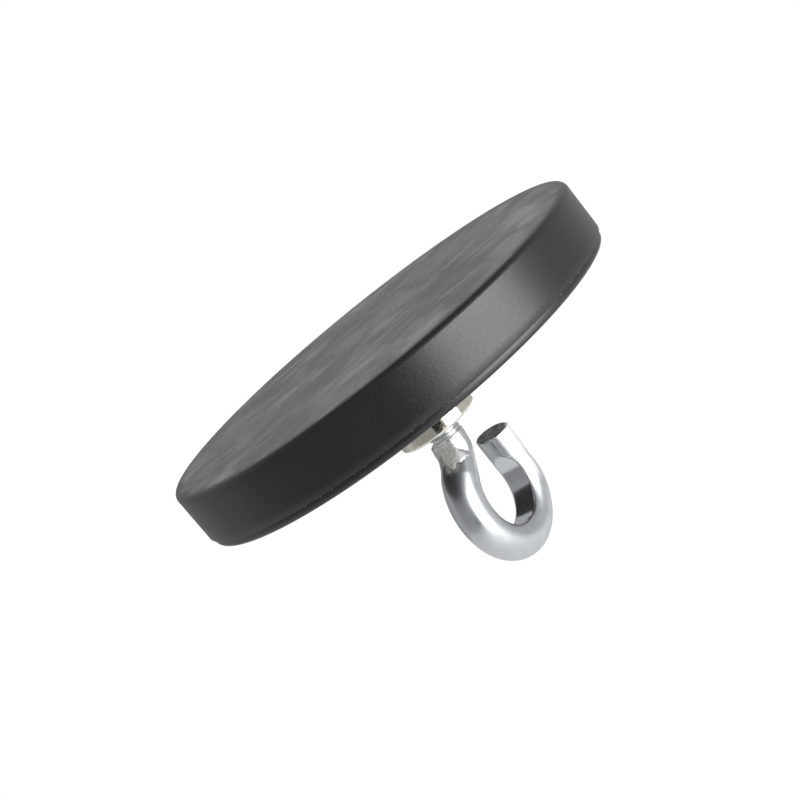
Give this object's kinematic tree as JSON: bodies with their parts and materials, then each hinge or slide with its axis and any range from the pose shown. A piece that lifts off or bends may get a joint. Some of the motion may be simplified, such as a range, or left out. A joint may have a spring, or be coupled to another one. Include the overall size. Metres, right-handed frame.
{
  "type": "pot magnet",
  "caption": "Rubber-jacketed disc magnet with a nickel-plated threaded bush and a zinc-plated open screw hook hanging under it.",
  "frame": {"origin": "centre of the magnetic face", "axes": "+Z is the outward normal of the magnetic face, the hook hangs towards -Z and its wire lies in the XZ plane with the free tip on the +X side"},
  "size_m": [0.066, 0.066, 0.0384],
  "materials": {
    "rubber": "satin black moulded rubber, scuffed grey on the magnetic face",
    "yoke_steel": "zinc-plated mild steel",
    "magnet_nickel": "nickel-plated sintered magnet",
    "bush_nickel": "bright nickel plate",
    "hook_zinc": "bright blue-white zinc plate"
  },
  "bodies": {
    "root": {"rubber_jacket": "rubber", "yoke_plate": "yoke_steel", "magnet_01": "magnet_nickel", "magnet_02": "magnet_nickel", "magnet_03": "magnet_nickel", "magnet_04": "magnet_nickel", "magnet_05": "magnet_nickel", "magnet_06": "magnet_nickel", "magnet_07": "magnet_nickel", "magnet_08": "magnet_nickel", "threaded_bush": "bush_nickel", "hook": "hook_zinc"}
  },
  "joints": []
}
